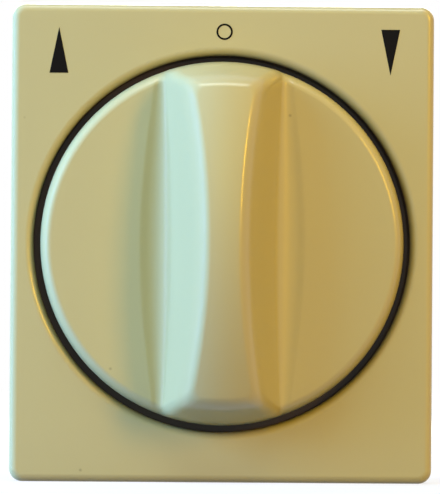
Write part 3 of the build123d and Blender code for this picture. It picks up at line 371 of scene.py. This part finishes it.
def moulded_plastic(name, tint, roughness):
    """Plain moulded plastic with a faint mottling of its tint."""
    material, tree, shader = new_material(name)
    place = tree.nodes.new("ShaderNodeTexCoord")
    mottle = tree.nodes.new("ShaderNodeTexNoise")
    mottle.inputs["Scale"].default_value = MOTTLE_SCALE
    tree.links.new(place.outputs["Object"], mottle.inputs["Vector"])
    paler = tuple(min(1.0, part * MOTTLE_PALER) for part in tint[:3])
    ramp = tree.nodes.new("ShaderNodeValToRGB")
    ramp.color_ramp.elements[0].color = tint
    ramp.color_ramp.elements[1].color = (*paler, 1.0)
    tree.links.new(mottle.outputs["Fac"], ramp.inputs["Fac"])
    tree.links.new(ramp.outputs["Color"], shader.inputs["Base Color"])
    shader.inputs["Roughness"].default_value = roughness
    return material


def cream_gloss(name, tint):
    """Cream plastic with a worn gloss; a painted shade darkens the gap round the knob, and fine specks
    dot it.
    """
    material = moulded_plastic(name, tint, GLOSS_ROUGHNESS)
    tree = material.node_tree
    shader = tree.nodes["Principled BSDF"]
    shader.inputs["Coat Weight"].default_value = COAT_SHARE
    shader.inputs["Coat Roughness"].default_value = COAT_ROUGHNESS
    place = tree.nodes.new("ShaderNodeTexCoord")
    split = tree.nodes.new("ShaderNodeSeparateXYZ")
    tree.links.new(place.outputs["Object"], split.inputs[0])
    x = Wire(tree, split.outputs["X"]) * MM_PER_M
    level = Wire(tree, split.outputs["Y"]) * -MM_PER_M
    z = Wire(tree, split.outputs["Z"]) * MM_PER_M
    reach = (x * x + z * z).root()
    # Painted shade: the plastic is darkened and roughened in a ring in the gap round the knob, fading
    # out towards the front
    in_gap = (reach - GAP_SHADE_INNER).share() * (GAP_SHADE_OUTER - reach).share()
    gap_shade = in_gap * ((GAP_SHADE_TOP - level) / GAP_SHADE_FADE).share()
    specks = tree.nodes.new("ShaderNodeTexVoronoi")
    specks.inputs["Scale"].default_value = SPECK_SCALE
    tree.links.new(place.outputs["Object"], specks.inputs["Vector"])
    speck = (SPECK_RADIUS - Wire(tree, specks.outputs["Distance"])).most(0.0) * SPECK_STRENGTH
    # One dark tint serves both the painted shade in the gap and the specks
    blend = tree.nodes.new("ShaderNodeMixRGB")
    blend.inputs["Color2"].default_value = colour(*GAP_SHADE_AND_SPECK_TINT)
    tree.links.new(gap_shade.most(speck.least(SPECK_MOST)).socket, blend.inputs["Fac"])
    tree.links.new(tree.nodes["Color Ramp"].outputs["Color"], blend.inputs["Color1"])
    tree.links.new(blend.outputs["Color"], shader.inputs["Base Color"])
    rough = gap_shade * (GAP_SHADE_ROUGHNESS - GLOSS_ROUGHNESS) + GLOSS_ROUGHNESS
    tree.links.new(rough.socket, shader.inputs["Roughness"])
    return material


def dull_print(name, tint):
    """Printing ink that mirrors little."""
    material = moulded_plastic(name, tint, PRINT_ROUGHNESS)
    shader = material.node_tree.nodes["Principled BSDF"]
    shader.inputs["Specular IOR Level"].default_value = PRINT_SPECULAR
    return material


def plain_metal(name, tint, roughness):
    """Metal with a faint unevenness of its polish."""
    material, tree, shader = new_material(name)
    place = tree.nodes.new("ShaderNodeTexCoord")
    grain = tree.nodes.new("ShaderNodeTexNoise")
    grain.inputs["Scale"].default_value = POLISH_SCALE
    tree.links.new(place.outputs["Object"], grain.inputs["Vector"])
    polish = tree.nodes.new("ShaderNodeMapRange")
    polish.inputs["To Min"].default_value = roughness * POLISH_LEAST
    polish.inputs["To Max"].default_value = roughness * POLISH_MOST
    tree.links.new(grain.outputs["Fac"], polish.inputs["Value"])
    tree.links.new(polish.outputs["Result"], shader.inputs["Roughness"])
    shader.inputs["Base Color"].default_value = tint
    shader.inputs["Metallic"].default_value = 1.0
    return material


FINISHES = {
    "cream_plastic": cream_gloss("cream_gloss", colour(190, 181, 128)),
    "spindle_plastic": moulded_plastic("dark_nylon", colour(60, 60, 62), roughness=0.5),
    "rotor_plastic": moulded_plastic("white_nylon", colour(222, 222, 216), roughness=0.5),
    "housing_plastic": moulded_plastic("grey_housing", colour(190, 192, 190), roughness=0.55),
    "front_plastic": moulded_plastic("pale_front", colour(214, 214, 208), roughness=0.55),
    "button_plastic": moulded_plastic("grey_button", colour(96, 98, 102), roughness=0.5),
    "zinc_steel": plain_metal("zinc_plate", colour(200, 202, 206), roughness=0.35),
    "spring_steel": plain_metal("spring_steel", colour(178, 180, 184), roughness=0.28),
    "brass": plain_metal("brass", colour(214, 180, 104), roughness=0.3),
    "copper": plain_metal("copper", colour(214, 140, 104), roughness=0.3),
    "silver": plain_metal("silver", colour(226, 226, 222), roughness=0.25),
}
BLACK_PRINT = dull_print("black_print", colour(8, 8, 8))


def finish_solids():
    """Gives every solid the finish of its slot."""
    for entry in frame["record"]["subparts"]:
        for slot in frame["nodes"][entry["node"]].material_slots:
            slot.material = FINISHES[entry["material_slot"]]


# Knob


def knob_tree(sizes, material):
    """Knob by rule: a square grid drawn round to a disc and raised to wings, scoops and ridge."""
    tree, size = geometry_tree("knob_rule", sizes)
    grid = tree.nodes.new("GeometryNodeMeshGrid")
    grid.inputs["Size X"].default_value = 2.0
    grid.inputs["Size Y"].default_value = 2.0
    grid.inputs["Vertices X"].default_value = KNOB_GRID
    grid.inputs["Vertices Y"].default_value = KNOB_GRID
    grid_x, grid_z = point_place(tree, "X", "Y")

    # The outer rings of the grid are kept for the round of the rim and for the skirt below it
    ring = grid_x.size().most(grid_z.size())
    squeeze = (ring / DISC_SHARE).most(1.0)
    column = grid_x / DISC_SHARE / squeeze
    column = column * (column * column * COLUMN_GATHER + (1 - COLUMN_GATHER))
    row = grid_z / DISC_SHARE / squeeze
    rim_turn = ((ring - DISC_SHARE) / (RIM_SHARE - DISC_SHARE)).share() * (pi / 2)
    skirt = ((ring - RIM_SHARE) / (1 - RIM_SHARE)).most(0.0)
    flat_radius = size["Radius"] - size["Rim Round"]
    stretch = (flat_radius + size["Rim Round"] * rim_turn.sine()) / flat_radius
    x = column * (1 - row * row / 2).root() * flat_radius * stretch
    z = row * (1 - column * column / 2).root() * flat_radius * stretch
    reach = (x * x + z * z).root()

    # Finger scoops: a round foot that dips a little below the flat wing, then a drafted flank
    far = z / size["Scoop Reach"]
    swell = (1 - far * far) ** SWELL_POWER
    end_round = size["Scoop End Radius"]
    round_foot = end_round + (size["Scoop Middle Radius"] - end_round) * swell
    depth = size["Scoop Depth"] * swell
    draft_sine = size["Flank Draft"].sine()
    draft_cosine = size["Flank Draft"].cosine()
    lowest_x = size["Foot"] + size["Foot Flare"] * far * far + depth * draft_sine / draft_cosine
    lowest_x = lowest_x + round_foot * draft_cosine / (draft_sine + 1)
    inward = (lowest_x - x.size()).most(0.0)
    outward = (x.size() - lowest_x).most(0.0)
    along = inward.least(round_foot * draft_cosine) + outward.least(round_foot * FOOT_OUTER_SHARE)
    sweep = round_foot - (round_foot * round_foot - along * along).root() - depth
    flank = (inward - round_foot * draft_cosine).most(0.0) * draft_cosine / draft_sine
    scoop = size["Wing Level"] + soft_least(sweep + flank, inward * RELEASE_SLOPE, size["Scoop Blend"])

    # Crown: an arched section swung lengthwise; ends: a cone that leans inwards
    cross = size["Crown Cross Radius"]
    arch_x = x.size().least(size["Arch Half"])
    section = size["Crown Long Radius"] - cross + (cross * cross - arch_x * arch_x).root()
    crown = size["Crown Level"] - size["Crown Long Radius"] + (section * section - z * z).root()
    end_wall = size["Wing Level"] + (size["Radius"] - reach) * size["End Rise"] / size["End Lean"]
    side = soft_least(scoop, end_wall, size["End Blend"])
    height = soft_least(side, crown, size["Crown Blend"])
    on_wing = (1 - (height - size["Wing Level"]) / size["Rim Round"]).share()
    height = height - size["Rim Round"] * (1 - rim_turn.cosine()) * on_wing
    height = height + (size["Bottom Level"] - height) * skirt
    geometry = place_points(tree, grid.outputs["Mesh"], x, height, z)

    # Hollow back: the open edge is carried inwards, up to the wings, round the hub and into its socket
    inner_radius = size["Radius"] - size["Wall"]
    ceiling = size["Wing Level"] - size["Wall"]
    for radius, level in (
        (inner_radius, size["Bottom Level"]),
        (inner_radius, ceiling),
        (size["Hub Radius"], ceiling),
        (size["Hub Radius"], size["Hub Level"]),
        (size["Socket Radius"], size["Hub Level"]),
        (size["Socket Radius"], size["Socket Level"]),
        (0.0, size["Socket Level"]),
    ):
        neighbours = tree.nodes.new("GeometryNodeInputMeshEdgeNeighbors")
        face_count = Wire(tree, neighbours.outputs["Face Count"])
        open_edge = face_count.math("COMPARE", face_count, 1.0)
        grow = tree.nodes.new("GeometryNodeExtrudeMesh")
        grow.mode = "EDGES"
        grow.inputs["Offset Scale"].default_value = 0.0
        tree.links.new(geometry, grow.inputs["Mesh"])
        tree.links.new(open_edge.socket, grow.inputs["Selection"])
        there_x, there_z = point_place(tree, "X", "Z")
        away = (there_x * there_x + there_z * there_z).root()
        geometry = place_points(
            tree,
            grow.outputs["Mesh"],
            there_x / away * radius,
            level,
            there_z / away * radius,
            grow.outputs["Top"],
        )
    weld = tree.nodes.new("GeometryNodeMergeByDistance")
    weld.inputs["Distance"].default_value = WELD_DISTANCE
    tree.links.new(geometry, weld.inputs["Geometry"])
    close_tree(tree, weld.outputs["Geometry"], material)
    return tree


def make_knob():
    """Moulded knob in place of its solid."""
    tree = knob_tree(KNOB_SIZES, FINISHES["cream_plastic"])
    knob = link_object("moulded_knob", grown_mesh("moulded_knob", tree, KNOB_SIZES))
    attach(knob, "knob")
    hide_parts("rotary_knob")


# Plate and its printed signs


def make_plate():
    """Polished copy of the cover plate: joined faces, smooth rounds, sharp edges kept."""
    mesh = bpy.data.meshes.new("moulded_plate")
    shape = bmesh.new()
    shape.from_mesh(frame["nodes"]["cover_plate"].data)
    bmesh.ops.remove_doubles(shape, verts=shape.verts, dist=WELD_DISTANCE)
    for face in shape.faces:
        face.smooth = True
    for edge in shape.edges:
        edge.smooth = len(edge.link_faces) == 2 and edge.calc_face_angle() < SHARP_BEND
    shape.to_mesh(mesh)
    shape.free()
    plate = link_object("moulded_plate", mesh)
    mesh.materials.append(FINISHES["cream_plastic"])
    evener = plate.modifiers.new("even", "WEIGHTED_NORMAL")
    evener.keep_sharp = True
    evener.weight = EVEN_WEIGHT
    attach(plate, "housing")
    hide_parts("cover_plate")


def printed_sign(name, outline, inner=()):
    """Thin print on the plate: an outline in millimetres, with an inner outline for a ring."""
    mesh = bpy.data.meshes.new(name)
    shape = bmesh.new()
    loops = []
    for points in (outline, inner):
        for level in (PLATE_LEVEL, PLATE_LEVEL + PRINT_THICK):
            loops.append([shape.verts.new(in_room(x, level, z)) for x, z in points])
    outer_low, outer_high, inner_low, inner_high = loops
    if inner:
        pairs = (
            (outer_high, inner_high),
            (inner_high, inner_low),
            (inner_low, outer_low),
            (outer_low, outer_high),
        )
    else:
        shape.faces.new(outer_high)
        shape.faces.new(outer_low)
        pairs = ((outer_low, outer_high),)
    for one, other in pairs:
        for this in range(len(one)):
            that = (this + 1) % len(one)
            shape.faces.new((one[this], one[that], other[that], other[this]))
    shape.to_mesh(mesh)
    shape.free()
    face_outwards(mesh)
    mesh.materials.append(BLACK_PRINT)
    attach(link_object(name, mesh), "housing")


def circle_points(x, z, radius):
    """Points of a circle, in order."""
    points = []
    for step in range(RING_POINTS):
        turn = 2 * pi * step / RING_POINTS
        points.append((x + radius * cos(turn), z + radius * sin(turn)))
    return points


def make_signs():
    """Up arrow at the left, off ring in the middle, down arrow at the right."""
    for name, x, foot, point in (
        ("up_arrow_print", UP_ARROW_X, ARROW_LOW_Z, ARROW_HIGH_Z),
        ("down_arrow_print", DOWN_ARROW_X, ARROW_HIGH_Z, ARROW_LOW_Z),
    ):
        printed_sign(name, ((x - ARROW_HALF_WIDTH, foot), (x + ARROW_HALF_WIDTH, foot), (x, point)))
    outer = circle_points(RING_X, RING_Z, RING_OUTER_RADIUS)
    inner = circle_points(RING_X, RING_Z, RING_OUTER_RADIUS - RING_LINE)
    printed_sign("off_ring_print", outer, inner)


# Threads of the claw screws


def thread_tree(sizes, material):
    """Screw thread by rule: a wire with a sharp section, wound along the level axis from 0 backwards."""
    tree, size = geometry_tree("thread_rule", sizes)
    coil = tree.nodes.new("GeometryNodeCurveSpiral")
    coil.inputs["Resolution"].default_value = THREAD_STEPS
    tree.links.new(size["Turns"].socket, coil.inputs["Rotations"])
    tree.links.new((size["Radius"] * MM).socket, coil.inputs["Start Radius"])
    tree.links.new((size["Radius"] * MM).socket, coil.inputs["End Radius"])
    tree.links.new((size["Length"] * MM).socket, coil.inputs["Height"])
    lay = tree.nodes.new("GeometryNodeTransform")
    lay.inputs["Rotation"].default_value = (-pi / 2, 0.0, 0.0)
    tree.links.new(coil.outputs["Curve"], lay.inputs["Geometry"])
    section = tree.nodes.new("GeometryNodeCurvePrimitiveCircle")
    section.inputs["Resolution"].default_value = RIDGE_CORNERS
    tree.links.new((size["Ridge"] * MM).socket, section.inputs["Radius"])
    wind = tree.nodes.new("GeometryNodeCurveToMesh")
    wind.inputs["Fill Caps"].default_value = True
    tree.links.new(lay.outputs["Geometry"], wind.inputs["Curve"])
    tree.links.new(section.outputs["Curve"], wind.inputs["Profile Curve"])
    close_tree(tree, wind.outputs["Mesh"], material)
    return tree


def make_threads():
    """A thread on the shaft of each claw screw."""
    tree = thread_tree(THREAD_SIZES, FINISHES["zinc_steel"])
    for side, x in (("left", -CLAW_SCREW_X), ("right", CLAW_SCREW_X)):
        name = side + "_screw_thread"
        mesh = grown_mesh(name, tree, THREAD_SIZES)
        mesh.transform(Matrix.Translation(in_room(x, THREAD_FRONT_LEVEL, 0)))
        thread = link_object(name, mesh)
        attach(thread, side + "_screw")


# Camera, lamps and room


def set_camera():
    """Camera of the photograph: distance, direction, roll and scale."""
    data = bpy.data.cameras.new("camera")
    data.sensor_fit = "HORIZONTAL"
    data.sensor_width = SENSOR_MM
    data.lens = SENSOR_MM * VIEW_DISTANCE / (IMAGE_WIDTH_PX / PX_PER_MM * MM)
    camera = link_object("camera", data)
    centre = in_room(AIM_X, PLATE_LEVEL, AIM_Z)
    away = Vector((-sin(VIEW_FROM_LEFT), -cos(VIEW_FROM_LEFT), -tan(VIEW_FROM_BELOW)))
    camera.location = centre + away.normalized() * VIEW_DISTANCE
    look = (centre - camera.location).to_track_quat("-Z", "Y").to_matrix()
    camera.rotation_euler = (look @ Matrix.Rotation(IMAGE_ROLL, 3, "Z")).to_euler()
    bpy.context.scene.camera = camera


def softbox(name, to_right, to_top, distance, size, power, tint, mirrored=True):
    """Rectangular lamp aimed at the knob, at two angles in degrees from straight in front of it.

    Its distance and size are in metres, and its power is in watts. An unmirrored lamp lights
    the pieces, but no glossy surface shows it.
    """
    data = bpy.data.lights.new(name, "AREA")
    data.shape = "RECTANGLE"
    data.size, data.size_y = size
    data.energy = power
    data.color = tint
    lamp = link_object(name, data)
    turn = radians(to_right)
    tilt = radians(to_top)
    away = Vector((sin(turn) * cos(tilt), -cos(turn) * cos(tilt), sin(tilt)))
    centre = in_room(0, PLATE_LEVEL, 0)
    lamp.location = centre + distance * away
    lamp.rotation_euler = (centre - lamp.location).to_track_quat("-Z", "Y").to_euler()
    lamp.visible_glossy = mirrored


def set_lamps():
    """Blue window light at the left, a warm lamp at the right, light from above, in front and behind."""
    softbox(
        "left_window",
        to_right=-86,
        to_top=10,
        distance=0.45,
        size=(0.2, 0.36),
        power=7.0,
        tint=(0.23, 0.43, 1.0),
        mirrored=False,
    )
    softbox(
        "left_fill",
        to_right=-58,
        to_top=22,
        distance=0.5,
        size=(0.2, 0.2),
        power=1.4,
        tint=(0.25, 0.6, 1.0),
        mirrored=False,
    )
    softbox(
        "right_lamp",
        to_right=45,
        to_top=18,
        distance=0.7,
        size=(0.1, 0.26),
        power=2.6,
        tint=(1.0, 0.54, 0.0),
    )
    softbox(
        "top_light",
        to_right=-5,
        to_top=74,
        distance=1.2,
        size=(1.0, 0.5),
        power=8.8,
        tint=(0.86, 0.95, 0.92),
    )
    softbox(
        "front_fill",
        to_right=0,
        to_top=20,
        distance=1.0,
        size=(0.3, 0.3),
        power=1.7,
        tint=(1.0, 0.75, 0.0),
        mirrored=False,
    )
    for name, to_right in (("back_left", -168), ("back_right", 168)):
        softbox(
            name,
            to_right=to_right,
            to_top=25,
            distance=0.8,
            size=(0.4, 0.4),
            power=3.0,
            tint=(1.0, 1.0, 1.0),
        )


def seen_share(tree):
    """1 for what the camera, mirrors and glass show, 0 for rays that only carry light."""
    path = tree.nodes.new("ShaderNodeLightPath")
    seen = Wire(tree, path.outputs["Is Camera Ray"])
    for kind in ("Is Glossy Ray", "Is Transmission Ray"):
        seen = seen.most(Wire(tree, path.outputs[kind]))
    return seen


def set_surroundings():
    """Surroundings that look white and give only a dim light."""
    world = bpy.data.worlds.new("studio")
    world.use_nodes = True
    bpy.context.scene.world = world
    tree = world.node_tree
    dim = tree.nodes["Background"]
    dim.inputs["Color"].default_value = (*ROOM_TINT, 1.0)
    white = tree.nodes.new("ShaderNodeBackground")
    white.inputs["Color"].default_value = WHITE
    choice = tree.nodes.new("ShaderNodeMixShader")
    tree.links.new(seen_share(tree).socket, choice.inputs[0])
    tree.links.new(dim.outputs[0], choice.inputs[1])
    tree.links.new(white.outputs[0], choice.inputs[2])
    tree.links.new(choice.outputs[0], tree.nodes["World Output"].inputs["Surface"])


def pale_floor(name):
    """Floor finish that glows a little where it is seen, up to white further away."""
    material, tree, shader = new_material(name)
    shader.inputs["Base Color"].default_value = colour(*FLOOR_TINT)
    shader.inputs["Roughness"].default_value = FLOOR_ROUGHNESS
    shader.inputs["Specular IOR Level"].default_value = 0.0
    shader.inputs["Emission Color"].default_value = WHITE
    place = tree.nodes.new("ShaderNodeTexCoord")
    away = tree.nodes.new("ShaderNodeVectorMath")
    away.operation = "LENGTH"
    tree.links.new(place.outputs["Object"], away.inputs[0])
    paler = (Wire(tree, away.outputs["Value"]) * FLOOR_PALER).least(1 - FLOOR_GLOW)
    glow = seen_share(tree) * (paler + FLOOR_GLOW)
    tree.links.new(glow.socket, shader.inputs["Emission Strength"])
    return material


def set_floor():
    """Floor at the lowest point of the solids."""
    low = CAD_BOX[0][2]
    corners = [
        (-FLOOR_HALF, -FLOOR_HALF, low),
        (FLOOR_HALF, -FLOOR_HALF, low),
        (FLOOR_HALF, FLOOR_HALF, low),
        (-FLOOR_HALF, FLOOR_HALF, low),
    ]
    mesh = bpy.data.meshes.new("floor")
    mesh.from_pydata(corners, [], [(0, 1, 2, 3)])
    mesh.materials.append(pale_floor("pale_floor"))
    link_object("floor", mesh)


finish_solids()
make_knob()
make_plate()
make_signs()
make_threads()
set_camera()
set_lamps()
set_surroundings()
set_floor()
bpy.context.scene.view_settings.view_transform = "Standard"
